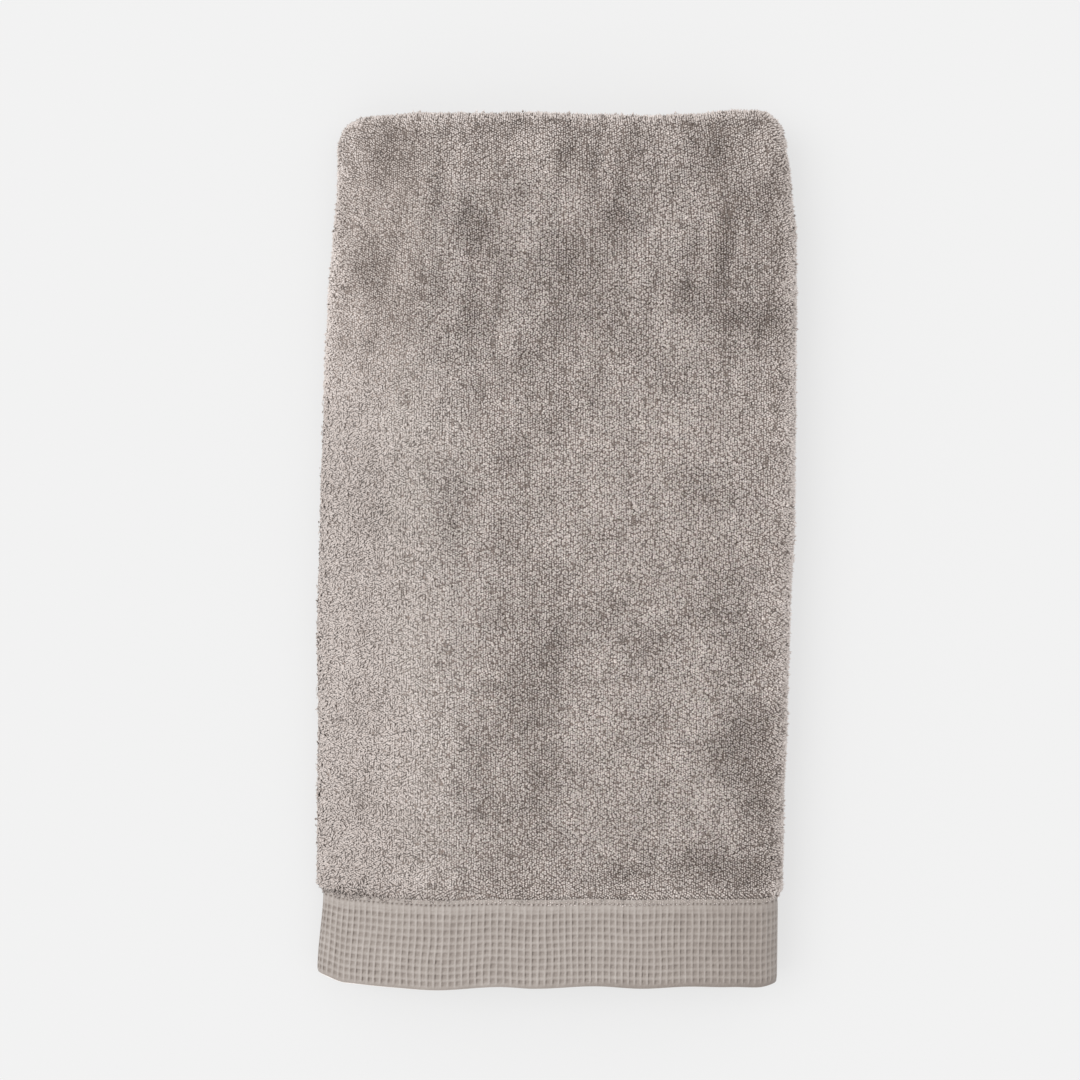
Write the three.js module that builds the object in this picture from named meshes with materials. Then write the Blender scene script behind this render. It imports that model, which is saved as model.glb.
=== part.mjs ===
// A terry bath towel with a woven waffle border, folded and lying flat.
//
// The towel is one cloth. Its length is folded in thirds first, so that three layers lie on each
// other: the front, the inner end and the back. That three-layer bundle is then folded in thirds
// across its width, with both side thirds turned behind the front. The right-hand third is tucked
// in, and stops short of the left side, where the front slopes down and wraps round to the back.
//
// Millimetres. +X is to the right and +Y towards the folded end, as seen from above. +Z is up.
// The origin is on the surface that the towel lies on, under the middle of the folded towel.

import * as THREE from 'three';

// The towel laid flat, from selvedge to selvedge and from hem to hem.
const towelWidth = 700;
const towelLength = 1400;

// The cloth. The waffle border at each end is turned back and sewn down, and has no loops.
const terryThickness = 4.2;
const borderThickness = 2.8;
const borderDepth = 48;
const borderStep = 3;

// The folded towel.
const foldedWidth = 262;
const foldedLength = 484;
const layerGap = 0.6;
const borderOverhang = 18;
const tuckedThirdShort = 62;
const slopeAngle = 35;
const foldSlack = 0.1;

const layerPitch = terryThickness + layerGap;
const bundleHalf = layerPitch + terryThickness / 2;
const bundlePitch = 3 * layerPitch;
const rightmost = foldedWidth / 2;
const topmost = foldedLength / 2;

// Follows a line of straight runs and clockwise turns. Each station has its place, its left-hand
// normal and how far along the line it lies.
function follow(start, heading, legs) {
  let [x, y] = start;
  let angle = THREE.MathUtils.degToRad(heading);
  let along = 0;
  const stations = [];
  const note = () => stations.push({ x, y, nx: -Math.sin(angle), ny: Math.cos(angle), along });
  note();
  for (const { run, radius, turn, steps } of legs) {
    const sweep = turn ? THREE.MathUtils.degToRad(turn) / steps : 0;
    const length = turn ? radius * sweep : run / steps;
    const chord = turn ? 2 * radius * Math.sin(sweep / 2) : length;
    for (let i = 0; i < steps; i++) {
      x += chord * Math.cos(angle - sweep / 2);
      y += chord * Math.sin(angle - sweep / 2);
      angle -= sweep;
      along += length;
      note();
    }
  }
  return stations;
}

const arcLength = (radius, turn) => radius * THREE.MathUtils.degToRad(turn);

// The length, folded in thirds: how far along the towel, and how far out from the middle layer.
const topFoldRadius = layerPitch;
const bottomFoldRadius = layerPitch / 2;
const topFoldAt = topmost - bundleHalf;
const bottomFoldAt = -topmost + borderOverhang + bottomFoldRadius + terryThickness / 2;
const frontRun = topFoldAt + topmost;
const backRun = topFoldAt - bottomFoldAt;
const innerRun =
  towelLength - frontRun - arcLength(topFoldRadius, 180) - backRun - arcLength(bottomFoldRadius, 180);

const lengthFold = follow([-topmost, layerPitch], 0, [
  { run: borderDepth, steps: 3 },
  { run: borderStep, steps: 1 },
  { run: frontRun - borderDepth - borderStep, steps: 13 },
  { radius: topFoldRadius, turn: 180, steps: 6 },
  { run: backRun, steps: 11 },
  { radius: bottomFoldRadius, turn: 180, steps: 5 },
  { run: innerRun - borderDepth - borderStep, steps: 9 },
  { run: borderStep, steps: 1 },
  { run: borderDepth, steps: 1 },
]);

// The width, folded in thirds round the bundle: across the towel, and up from the surface.
const backLevel = bundleHalf;
const frontLevel = bundleHalf + 2 * bundlePitch;
const rightFoldRadius = bundlePitch / 2;
const leftFoldRadius = bundleHalf + foldSlack * 4;
const leftFoldAt = -rightmost + bundleHalf + leftFoldRadius;
const rightFoldAt = rightmost - bundleHalf - rightFoldRadius;
const slope = THREE.MathUtils.degToRad(slopeAngle);
const slopeFoot = backLevel + leftFoldRadius * (1 + Math.cos(slope));
const slopeRadius = (frontLevel - slopeFoot) / (1 - Math.cos(slope));
const slopeTop = leftFoldAt + (slopeRadius - leftFoldRadius) * Math.sin(slope);
const frontWidth = rightFoldAt - slopeTop;
const tuckedWidth = rightFoldAt + rightmost - tuckedThirdShort;
const backWidth =
  towelWidth - arcLength(leftFoldRadius, 180 - slopeAngle) - arcLength(slopeRadius, slopeAngle) -
  frontWidth - arcLength(rightFoldRadius, 180) - tuckedWidth;

const widthFold = follow([leftFoldAt + backWidth, backLevel], 180, [
  { run: backWidth, steps: 7 },
  { radius: leftFoldRadius, turn: 180 - slopeAngle, steps: 7 },
  { radius: slopeRadius, turn: slopeAngle, steps: 5 },
  { run: frontWidth, steps: 11 },
  { radius: rightFoldRadius, turn: 180, steps: 8 },
  { run: tuckedWidth, steps: 6 },
]);

// How far each side of the folded towel stands out from its straight width, along its length.
const sideShape = [
  { at: -242, left: -4.6, right: 7.2 },
  { at: -193, left: -1.2, right: 6.8 },
  { at: -189.5, left: -4.2, right: 4.2 },
  { at: -144, left: -4.1, right: 3.6 },
  { at: -90, left: -3.6, right: 1.6 },
  { at: -46, left: -4.2, right: 0.2 },
  { at: 20, left: -2.4, right: -2.6 },
  { at: 90, left: -0.4, right: -3.2 },
  { at: 140, left: 1.6, right: -3.6 },
  { at: 175, left: 4.6, right: -3.4 },
  { at: 205, left: 7.2, right: -0.6 },
  { at: 226, left: 7.2, right: 2.0 },
  { at: 242, left: 10.0, right: 5.0 },
];

// How far the folded end and the hem stand out from straight lines, across the width.
const endShape = [
  { at: -131, foldedEnd: -2.2, hem: 4.2 },
  { at: -114, foldedEnd: 1.2, hem: 0.2 },
  { at: -88, foldedEnd: 1.2, hem: -0.2 },
  { at: -66, foldedEnd: 0.2, hem: -0.8 },
  { at: -30, foldedEnd: 0.6, hem: 1.2 },
  { at: -12, foldedEnd: 0.6, hem: 0.2 },
  { at: 22, foldedEnd: -0.3, hem: 1.6 },
  { at: 50, foldedEnd: -1.2, hem: 0.2 },
  { at: 78, foldedEnd: -0.3, hem: 1.4 },
  { at: 102, foldedEnd: 2.2, hem: 1.0 },
  { at: 118, foldedEnd: 1.8, hem: 0.2 },
  { at: 131, foldedEnd: -1.8, hem: 1.4 },
];
const endReach = 90;

// Soft troughs that run down from the folded end: their height at the top of the towel, negative
// for a trough, their place across, their half width and how far down they reach.
const troughs = [
  { across: -97, height: -1.3, halfWidth: 12, reach: 190 },
  { across: -72, height: 0.8, halfWidth: 11, reach: 130 },
  { across: -40, height: -0.9, halfWidth: 10, reach: 240 },
  { across: -16, height: 0.7, halfWidth: 11, reach: 120 },
  { across: 8, height: -1.0, halfWidth: 13, reach: 260 },
  { across: 54, height: 0.6, halfWidth: 16, reach: 200 },
  { across: 88, height: -1.4, halfWidth: 11, reach: 210 },
  { across: 108, height: 0.9, halfWidth: 9, reach: 160 },
];

// Gravity and the weight of the front press the sides flatter than the middle.
const leftPress = { share: 0.26, from: 52 };
const rightPress = { share: 0.13, from: 92 };

// The side thirds lie a little further in than the front at the hem.
const skew = { back: 2.4, tucked: 1.2 };

// Reads a column of a table of places, smoothly between its rows.
function between(table, column, at) {
  const last = table.length - 1;
  if (at <= table[0].at) return table[0][column];
  if (at >= table[last].at) return table[last][column];
  const i = table.findIndex((row) => row.at > at) - 1;
  const [low, high] = [table[i], table[i + 1]];
  const share = THREE.MathUtils.smoothstep(at, low.at, high.at);
  return THREE.MathUtils.lerp(low[column], high[column], share);
}

// What the folded towel's own unevenness does to a point of the neatly folded one.
function settle({ x, y, z }, turnedBehind) {
  const leftShare = THREE.MathUtils.clamp(-x / rightmost, 0, 1);
  const rightShare = THREE.MathUtils.clamp(x / rightmost, 0, 1);
  const towardsFold = THREE.MathUtils.smoothstep(y, topmost - endReach, topmost);
  const towardsHem = THREE.MathUtils.smoothstep(-y, topmost - endReach, topmost);

  let press = 1;
  press -= leftPress.share * THREE.MathUtils.smoothstep(-x, leftPress.from, rightmost);
  press -= rightPress.share * THREE.MathUtils.smoothstep(x, rightPress.from, rightmost);
  for (const { across, height, halfWidth, reach } of troughs) {
    const fade = THREE.MathUtils.smoothstep(y, topmost - reach, topmost - 0.3 * reach);
    press += (height / frontLevel) * fade * Math.exp(-(((x - across) / halfWidth) ** 2));
  }

  return {
    x: x + leftShare * between(sideShape, 'left', y) - rightShare * between(sideShape, 'right', y),
    y: y + towardsFold * between(endShape, 'foldedEnd', x) + towardsHem * between(endShape, 'hem', x) +
      turnedBehind,
    z: z * press,
  };
}

// The cloth's closed section across all the layers of the bundle: one face from the front hem to
// the inner hem, and the outer face back again.
function bundleSection() {
  const thicknessAt = (along) => {
    const fromHem = Math.min(along, towelLength - along);
    const share = THREE.MathUtils.clamp((fromHem - borderDepth) / borderStep, 0, 1);
    return THREE.MathUtils.lerp(borderThickness, terryThickness, share);
  };
  const face = (side) => lengthFold.map(({ x, y, nx, ny, along }) => {
    const out = (side * thicknessAt(along)) / 2;
    return new THREE.Vector2(x + out * nx, y + out * ny);
  });
  return [...face(-1), ...face(1).reverse()];
}

// How far the bundle has been shifted along the towel at a station of the width's fold.
function shiftBehind(along) {
  const front = backWidth + arcLength(leftFoldRadius, 180 - slopeAngle);
  const frontEnd = towelWidth - tuckedWidth - arcLength(rightFoldRadius, 180);
  const back = 1 - THREE.MathUtils.smoothstep(along, backWidth * 0.6, front);
  const tucked = THREE.MathUtils.smoothstep(along, frontEnd, towelWidth - tuckedWidth * 0.4);
  return skew.back * back + skew.tucked * tucked;
}

function foldedTowel() {
  const section = bundleSection();
  const ring = section.length;
  const positions = [];
  for (const station of widthFold) {
    const turnedBehind = shiftBehind(station.along);
    for (const { x: y, y: out } of section) {
      const neat = { x: station.x + out * station.nx, y, z: station.y + out * station.ny };
      const settled = settle(neat, turnedBehind);
      positions.push(settled.x, settled.y, settled.z);
    }
  }

  const faces = [];
  for (let i = 0; i + 1 < widthFold.length; i++) {
    for (let j = 0; j < ring; j++) {
      const next = (j + 1) % ring;
      const [a, b] = [i * ring + j, i * ring + next];
      const [c, d] = [a + ring, b + ring];
      faces.push(a, b, c, b, d, c);
    }
  }
  const lastRing = (widthFold.length - 1) * ring;
  for (const [a, b, c] of THREE.ShapeUtils.triangulateShape(section, [])) {
    faces.push(c, b, a);
    faces.push(lastRing + a, lastRing + b, lastRing + c);
  }

  const geometry = new THREE.BufferGeometry();
  geometry.setAttribute('position', new THREE.Float32BufferAttribute(positions, 3));
  geometry.setIndex(faces);
  geometry.computeVertexNormals();
  return geometry;
}

// Stands a geometry on the surface with the middle of its plan over the origin.
function centred(geometry) {
  geometry.computeBoundingBox();
  const { min, max } = geometry.boundingBox;
  return geometry.translate(-(min.x + max.x) / 2, -(min.y + max.y) / 2, -min.z);
}

const terry = new THREE.MeshStandardMaterial({ color: 0xa69c97, roughness: 0.95, metalness: 0 });

const towel = new THREE.Mesh(centred(foldedTowel()), terry);
towel.name = 'towel';

const folded = new THREE.Group();
folded.add(towel);

export default folded;
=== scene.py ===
import math
import bmesh
import bpy
import numpy as np
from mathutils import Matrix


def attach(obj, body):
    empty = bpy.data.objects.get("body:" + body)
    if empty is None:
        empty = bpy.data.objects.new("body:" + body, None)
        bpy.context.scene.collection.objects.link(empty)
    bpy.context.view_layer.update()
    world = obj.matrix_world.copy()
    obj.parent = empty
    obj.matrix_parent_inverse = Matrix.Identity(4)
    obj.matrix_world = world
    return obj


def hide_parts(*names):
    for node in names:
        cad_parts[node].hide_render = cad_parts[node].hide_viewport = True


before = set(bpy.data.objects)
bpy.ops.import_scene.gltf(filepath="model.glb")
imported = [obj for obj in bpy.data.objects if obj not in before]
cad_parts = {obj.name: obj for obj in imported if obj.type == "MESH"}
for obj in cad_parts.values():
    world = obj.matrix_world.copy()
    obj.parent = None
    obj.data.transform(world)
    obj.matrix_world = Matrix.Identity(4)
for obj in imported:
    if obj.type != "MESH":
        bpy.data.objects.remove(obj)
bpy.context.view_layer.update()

mm = 0.001
scene = bpy.context.scene

# Where the towel's cloth lies. Millimetres, with the origin under the middle of the folded towel.
# across runs from the selvedge underneath to the one tucked inside, along from the front hem
# to the inner hem, and out is the distance from the middle of the cloth towards its outer face.
towel = {
    "width": 700,
    "length": 1400,
    "terryThickness": 4.2,
    "borderThickness": 2.8,
    "borderDepth": 48,
    "borderStep": 3,
    "foldedWidth": 262,
    "foldedLength": 484,
    "layerGap": 0.6,
    "borderOverhang": 18,
    "tuckedShort": 62,
    "slopeAngle": 35,
    "noseSlack": 0.4,
}


def foldPath(start, heading, legs):
    # legs are straight runs (length,) and clockwise turns (degrees, radius)
    x, y = start
    angle = math.radians(heading)
    rows, along = [], 0.0
    for leg in legs:
        if len(leg) == 1:
            length, bend = leg[0], 0.0
        else:
            length, bend = math.radians(leg[0]) * leg[1], 1 / leg[1]
        rows.append((along, x, y, angle, bend))
        if bend:
            x += (math.sin(angle) - math.sin(angle - length * bend)) / bend
            y += (math.cos(angle - length * bend) - math.cos(angle)) / bend
            angle -= length * bend
        else:
            x += length * math.cos(angle)
            y += length * math.sin(angle)
        along += length
    return {"legs": np.array(rows), "length": along}


def layOut(path, along):
    # the places and outward normals of points along a folded path
    legs = path["legs"]
    which = np.clip(np.searchsorted(legs[:, 0], along, side="right") - 1, 0, len(legs) - 1)
    begins, x, y, angle, bend = legs[which].T
    run = along - begins
    turned = angle - run * bend
    curve = np.where(bend > 0, bend, 1.0)
    dx = np.where(bend > 0, (np.sin(angle) - np.sin(turned)) / curve, run * np.cos(angle))
    dy = np.where(bend > 0, (np.cos(turned) - np.cos(angle)) / curve, run * np.sin(angle))
    return x + dx, y + dy, -np.sin(turned), np.cos(turned)


pitch = towel["terryThickness"] + towel["layerGap"]
bundleHalf = pitch + towel["terryThickness"] / 2
halfWidth, halfLength = towel["foldedWidth"] / 2, towel["foldedLength"] / 2

# the length in thirds: front, back and inner end
topFoldAt = halfLength - bundleHalf
bottomFoldAt = -halfLength + towel["borderOverhang"] + pitch / 2 + towel["terryThickness"] / 2
frontRun, backRun = topFoldAt + halfLength, topFoldAt - bottomFoldAt
innerRun = towel["length"] - frontRun - backRun - math.pi * pitch * 1.5
lengthPath = foldPath((-halfLength, pitch), 0, [
    (frontRun,), (180, pitch), (backRun,), (180, pitch / 2), (innerRun,)])
topFoldAlong = frontRun
bottomFoldAlong = frontRun + math.pi * pitch + backRun

# the width in thirds round those three layers: back, front, and the tucked third between them,
# so the middle of the front is six layers above the middle of the back
noseRadius, rightRadius = bundleHalf + towel["noseSlack"], 1.5 * pitch
noseAt, rightFoldAt = -halfWidth + bundleHalf + noseRadius, halfWidth - bundleHalf - rightRadius
slope = math.radians(towel["slopeAngle"])
frontLevel = bundleHalf + 6 * pitch
slopeRadius = (frontLevel - bundleHalf - noseRadius * (1 + math.cos(slope))) / (1 - math.cos(slope))
frontWidth = rightFoldAt - noseAt - (slopeRadius - noseRadius) * math.sin(slope)
tuckedWidth = rightFoldAt + halfWidth - towel["tuckedShort"]
backWidth = (towel["width"] - noseRadius * (math.pi - slope) - slopeRadius * slope - frontWidth
             - rightRadius * math.pi - tuckedWidth)
widthPath = foldPath((noseAt + backWidth, bundleHalf), 180, [
    (backWidth,), (180 - towel["slopeAngle"], noseRadius), (towel["slopeAngle"], slopeRadius),
    (frontWidth,), (180, rightRadius), (tuckedWidth,)])
noseAlong = backWidth
slopeAlong = noseAlong + noseRadius * (math.pi - slope)
frontAlong = slopeAlong + slopeRadius * slope
rightAlong = frontAlong + frontWidth
tuckedAlong = rightAlong + rightRadius * math.pi

# how far each side stands in from its straight line: place along the towel, left, right
sideShape = np.array([
    (-242, -4.6, 7.2), (-193, -1.2, 6.8), (-189.5, -4.2, 4.2), (-144, -4.1, 3.6),
    (-90, -3.6, 1.6), (-46, -4.2, 0.2), (20, -2.4, -2.6), (90, -0.4, -3.2), (140, 1.6, -3.6),
    (175, 4.6, -3.4), (205, 7.2, -0.6), (226, 7.2, 2.0), (242, 10.0, 5.0)])

# how far the folded end and the hem stand up the towel: place across it, folded end, hem
endShape = np.array([
    (-131, -2.2, 4.2), (-114, 1.2, 0.2), (-88, 1.2, -0.2), (-66, 0.2, -0.8), (-30, 0.6, 1.2),
    (-12, 0.6, 0.2), (22, -0.3, 1.6), (50, -1.2, 0.2), (78, -0.3, 1.4), (102, 2.2, 1.0),
    (118, 1.8, 0.2), (131, -1.8, 1.4)])

# soft troughs down from the folded end: place across, height, half width, reach
troughs = [
    (-97, -1.3, 12, 190), (-72, 0.8, 11, 130), (-40, -0.9, 10, 240), (-16, 0.7, 11, 120),
    (8, -1.0, 13, 260), (54, 0.6, 16, 200), (88, -1.4, 11, 210), (108, 0.9, 9, 160)]

# how the stack settles: the reach of the uneven ends, each side pressed down by a share from a
# place outwards, the back and tucked thirds slipped along it, and its middle before centring
settling = {
    "endReach": 90,
    "leftPress": (0.26, 52),
    "rightPress": (0.13, 92),
    "troughFull": 0.3,
    "backSkew": 2.4,
    "backStraight": 0.6,
    "tuckedSkew": 1.2,
    "tuckedStraight": 0.4,
    "centre": (-0.207, 1.768),
}

# the waves that make up an uneven pattern: how many, their lengths in its sizes, and the
# divisor that brings their sum to about 1
waves = {
    "count": 14,
    "lengths": (1.3, 3.2),
    "divisor": 4,
}


def ease(low, high, at):
    # a smooth change from 0 at low to 1 at high
    share = np.clip((at - low) / (high - low), 0, 1)
    return share * share * (3 - 2 * share)


def between(table, column, at):
    # a column of a table, smoothly filled in between its rows
    places = table[:, 0]
    i = np.clip(np.searchsorted(places, at, side="right") - 1, 0, len(places) - 2)
    share = ease(places[i], places[i + 1], at)
    return table[i, column] * (1 - share) + table[i + 1, column] * share


def waviness(x, y, size, seed):
    # a smooth uneven pattern between about -1 and 1, with bumps of about the given size
    turns = np.random.default_rng(seed)
    total = np.zeros(np.broadcast(x, y).shape)
    for _ in range(waves["count"]):
        way, start = turns.uniform(0, 2 * math.pi, 2)
        wave = 2 * math.pi / (size * turns.uniform(*waves["lengths"]))
        total += np.sin((x * math.cos(way) + y * math.sin(way)) * wave + start)
    return total / waves["divisor"]


def onTowel(across, along, out):
    # where points of the flat cloth come to lie once it is folded
    y, level, normalY, normalLevel = layOut(lengthPath, along)
    y, level = y + out * normalY, level + out * normalLevel
    x, z, normalX, normalZ = layOut(widthPath, across)
    x, z = x + level * normalX, z + level * normalZ

    leftShare, rightShare = np.clip(-x / halfWidth, 0, 1), np.clip(x / halfWidth, 0, 1)
    reach = halfLength - settling["endReach"]
    towardsFold, towardsHem = ease(reach, halfLength, y), ease(reach, halfLength, -y)
    press = 1 - settling["leftPress"][0] * ease(settling["leftPress"][1], halfWidth, -x)
    press -= settling["rightPress"][0] * ease(settling["rightPress"][1], halfWidth, x)
    for place, height, half, down in troughs:
        fade = ease(halfLength - down, halfLength - settling["troughFull"] * down, y)
        press += height / frontLevel * fade * np.exp(-((x - place) / half) ** 2)

    back = 1 - ease(backWidth * settling["backStraight"], slopeAlong, across)
    tucked = ease(rightAlong, towel["width"] - tuckedWidth * settling["tuckedStraight"], across)
    newX = x + leftShare * between(sideShape, 1, y) - rightShare * between(sideShape, 2, y)
    newY = (y + towardsFold * between(endShape, 1, x) + towardsHem * between(endShape, 2, x)
            + settling["backSkew"] * back + settling["tuckedSkew"] * tucked)
    return np.stack([newX - settling["centre"][0], newY - settling["centre"][1], z * press], -1)


def evenSteps(path, level, first, last, step, samples=6000):
    # places along a path that lie evenly spaced at a level above it
    fine = np.linspace(first, last, samples)
    x, y, normalX, normalY = layOut(path, fine)
    x, y = x + level * normalX, y + level * normalY
    run = np.concatenate([[0], np.cumsum(np.hypot(np.diff(x), np.diff(y)))])
    count = max(2, round(run[-1] / step))
    return np.interp(np.linspace(0, run[-1], count + 1), run, fine)


def stationsOf(parts):
    # a grid's places from 0 on: each part says where it ends and how many steps lead there
    places, start = [[0.0]], 0
    for end, steps in parts:
        places.append(np.linspace(start, end, steps + 1)[1:])
        start = end
    return np.concatenate(places)


def sheetGrid(name, acrossStations, alongStations, outOf, alongOf=lambda v: v):
    # a grid of flat cloth, laid on the folded towel, with its flat place in metres as its UV map
    bm = bmesh.new()
    bmesh.ops.create_grid(bm, x_segments=len(acrossStations) - 1,
                          y_segments=len(alongStations) - 1, size=1)
    mesh = bpy.data.meshes.new(name)
    bm.to_mesh(mesh)
    bm.free()
    flat = np.empty(len(mesh.vertices) * 3)
    mesh.vertices.foreach_get("co", flat)
    flat = (flat.reshape(-1, 3) + 1) / 2
    across = np.interp(flat[:, 0], np.linspace(0, 1, len(acrossStations)), acrossStations)
    along = np.interp(flat[:, 1], np.linspace(0, 1, len(alongStations)), alongStations)
    places = onTowel(across, alongOf(along), outOf(across, along)) * mm
    mesh.vertices.foreach_set("co", places.ravel())
    corners = np.empty(len(mesh.loops), dtype=np.int32)
    mesh.loops.foreach_get("vertex_index", corners)
    uv = mesh.uv_layers.new(name="flatCloth")
    uv.data.foreach_set("uv", (np.stack([across, along], -1) * mm)[corners].ravel())
    mesh.polygons.foreach_set("use_smooth", np.ones(len(mesh.polygons), dtype=bool))
    mesh.update()
    return mesh, across, along


def linked(name, mesh, *materials):
    # a piece of the scene that rides on the towel's body
    piece = bpy.data.objects.new(name, mesh)
    scene.collection.objects.link(piece)
    for material in materials:
        mesh.materials.append(material)
    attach(piece, "root")
    return piece


# the looped pile, as one loop shape repeated, in millimetres and shares: the loops and how light
# they are, with painted shade at their feet, the clumps they are drawn into, the pits between the
# clumps, dark with painted shade, the part that is combed flat, and how far the loops reach
pile = {
    "pitch": 1.3,
    "jitter": 0.15,
    "halfLength": 0.96,
    "lengthSpread": (0.8, 1.2),
    "halfThick": 0.78,
    "thickSpread": (0.85, 1.15),
    "rise": 1.6,
    "root": 1.2,
    "unevenRoot": 0.26,
    "pressedFlat": 0.05,
    "lean": 0.2,
    "swirlSize": 5,
    "swirlTurn": 1.1,
    "swirlUneven": 0.5,
    "strayShare": 0.05,
    "strayLift": (0.39, 1.3),
    "toneSpread": 0.09,
    "toneLimits": (0.65, 1.3),
    "footShade": 0.15,
    "closeFoot": 0.68,
    "roundness": 1.8,
    "closeNap": (0.7, 1.12),
    "openThin": 0.25,
    "closeGround": 0.6,
    "edgeDark": 0.2,
    "edgeSpread": 2.4,
    "clumpSize": 2.2,
    "clumpPull": 0.14,
    "clumpReach": 0.2,
    "clumpDrawn": 0.5,
    "clumpFade": (-180, -60),
    "partingSize": 3.4,
    "partingWidth": (0.06, 0.34),
    "partingDrawn": 0.6,
    "partingMean": 0.3,
    "finePits": (0.55, 1.3),
    "widePits": (0.5, 5),
    "pitLevel": 0.75,
    "pitSpread": 1.9,
    "pitLightSpread": 0.45,
    "pitSoftness": 0.3,
    "pitSink": 0.35,
    "pitShade": 0.66,
    "foldPits": 0.25,
    "combedAcross": (-25, -115),
    "combedAlong": (50, 150),
    "combedFade": 0.9,
    "combedStraight": 0.75,
    "combedFoot": 0.3,
    "combedRise": 0.72,
    "combedLift": 0.3,
    "combedLength": 0.9,
    "combedTone": 0.25,
    "combedEven": 0.75,
    "combedGround": 1.7,
    "combedPits": 0.35,
    "fringeGap": 0.4,
    "fringeHang": 1.8,
    "fringeLeft": (6, 60),
    "fringeRight": (0, 60),
    "fringeUneven": 0.5,
    "borderReach": 4,
    "noseReach": 8,
    "tuckedReach": -1,
    "foldReach": -1,
    "leftFoldReach": (4, 3),
    "rightFoldReach": (2, 2),
    "bottomFoldReach": (3, 3),
    "sideGap": 0.8,
    "perPiece": 27000,
}

# the painted light and shade of the brushed pile, by place on the front: streaks, which grow
# stronger towards the folded end as the pile is painted darker, and two sizes of mottling
brushedShading = {
    "drawnOut": (40, 180),
    "streaks": 0.03,
    "streaksAtFold": 0.04,
    "streakStretch": 0.35,
    "mottling": 0.04,
    "mottlingStretch": 0.7,
    "fineMottling": 0.05,
    "darkAtFold": 0.06,
    "strength": 0.68,
}

# lighter and darker patches of this painted light and shade: places in millimetres from the towel's
# middle, half sizes, and how much lighter or darker
patches = [
    (-97, 218, 11, 18, -0.20), (-46, 150, 6, 45, -0.15), (-100, 141, 10, 12, -0.16),
    (-97, 114, 14, 8, -0.10), (24, 158, 22, 28, -0.08), (2, 125, 8, 45, -0.09),
    (73, 137, 12, 14, -0.14), (101, 127, 10, 9, -0.28), (93, 175, 7, 50, -0.22),
    (118, 147, 9, 60, -0.12), (49, 213, 20, 20, -0.08), (-23, 48, 7, 8, -0.10),
    (71, 39, 14, 8, -0.12), (-100, 20, 7, 16, -0.12), (-58, 12, 9, 30, -0.10),
    (95, -35, 16, 30, -0.12), (49, -51, 9, 10, -0.14), (-9, -70, 14, 20, -0.15),
    (-23, -90, 14, 80, -0.08), (-42, -128, 9, 30, -0.12), (-9, -134, 9, 30, -0.10),
    (101, -106, 20, 22, -0.20), (115, -139, 14, 45, -0.20), (35, -180, 12, 8, -0.25),
    (101, -178, 28, 10, -0.25), (71, -172, 16, 9, -0.15), (13, -40, 22, 12, -0.10),
    (-108, -145, 10, 8, -0.10), (92, 28, 34, 3, -0.08), (-1, -80, 2, 75, -0.08),
    (-124, -40, 10, 190, 0.14), (-14, 207, 14, 35, 0.12), (-58, 212, 12, 14, 0.12),
    (62, 174, 10, 50, 0.12), (68, 66, 30, 14, 0.10), (24, 26, 40, 35, 0.08),
    (-118, -193, 15, 3.5, -0.3), (-96, -197, 18, 3, -0.2), (-80, 64, 40, 14, 0.12),
    (-113, 92, 20, 20, 0.14), (-80, -50, 45, 60, 0.07), (20, -85, 14, 40, 0.06),
    (-86, -112, 40, 60, 0.08), (79, -85, 12, 20, 0.08)]


def combedShare(x, y):
    # 1 at the lower left, where the pile is brushed flat, and 0 from the middle on
    return ease(*pile["combedAcross"], x) * (1 - pile["combedFade"] * ease(*pile["combedAlong"], y))


def paintedShading(x, y):
    # about 1, with painted light where the brushed pile is light and painted shade where it is dark
    drawn = ease(*brushedShading["drawnOut"], y)
    streaks = brushedShading["streaks"] + brushedShading["streaksAtFold"] * drawn
    shade = 1 + streaks * waviness(x, y * brushedShading["streakStretch"], size=10, seed=5)
    shade += (brushedShading["mottling"] * waviness(x * brushedShading["mottlingStretch"], y, size=12, seed=6)
              + brushedShading["fineMottling"] * waviness(x, y, size=5, seed=7))
    shade -= brushedShading["darkAtFold"] * drawn
    for placeX, placeY, halfX, halfY, amount in patches:
        shade += amount * np.exp(-((x - placeX) / halfX) ** 2 - ((y - placeY) / halfY) ** 2)
    return 1 + brushedShading["strength"] * (shade - 1)


def keepShade(mesh, values, name="paintedShading"):
    # one value for each point, for the materials to read
    shade = mesh.attributes.new(name, "FLOAT", "POINT")
    shade.data.foreach_set("value", np.asarray(values, dtype=np.float32))


# the waffle weave of both borders: one cell, and how sharp its upright and cross ridges are
weave = {
    "cellAcross": 3.7,
    "cellAlong": 4.04,
    "uprightPower": 2.6,
    "crossPower": 1.7,
    "backCross": 0.7,
}

# the materials: base colours, the finish that they share, and the sizes and depths of the
# patterns in them
cloth = {
    "loop": (0.735, 0.669, 0.634),
    # the cloth between the loops, darkened with painted shade
    "ground": (0.2, 0.165, 0.146),
    "pile": (0.36, 0.31, 0.29),
    "waffle": (0.395, 0.356, 0.329),
    "thread": (0.37, 0.333, 0.312),
    "roughness": 0.95,
    "specular": 0.15,
    "sheen": 0.25,
    "sheenRoughness": 0.6,
    "fibreScale": 2600,
    "speckScale": 420,
    "tuftScale": 780,
    "fibreStrength": 0.6,
    "reliefStrength": 0.8,
    "reliefTop": 1.05,
    # the warmth of the painted shade
    "darkWarmth": (0.0, -0.12, -0.2),
}


def mathNode(nodes, links, operation, a, b=None, clamp=False):
    node = nodes.new("ShaderNodeMath")
    node.operation = operation
    node.use_clamp = clamp
    for socket, value in zip(node.inputs, (a, b)):
        if isinstance(value, (int, float)):
            socket.default_value = value
        elif value is not None:
            links.new(value, socket)
    return node.outputs[0]


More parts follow.
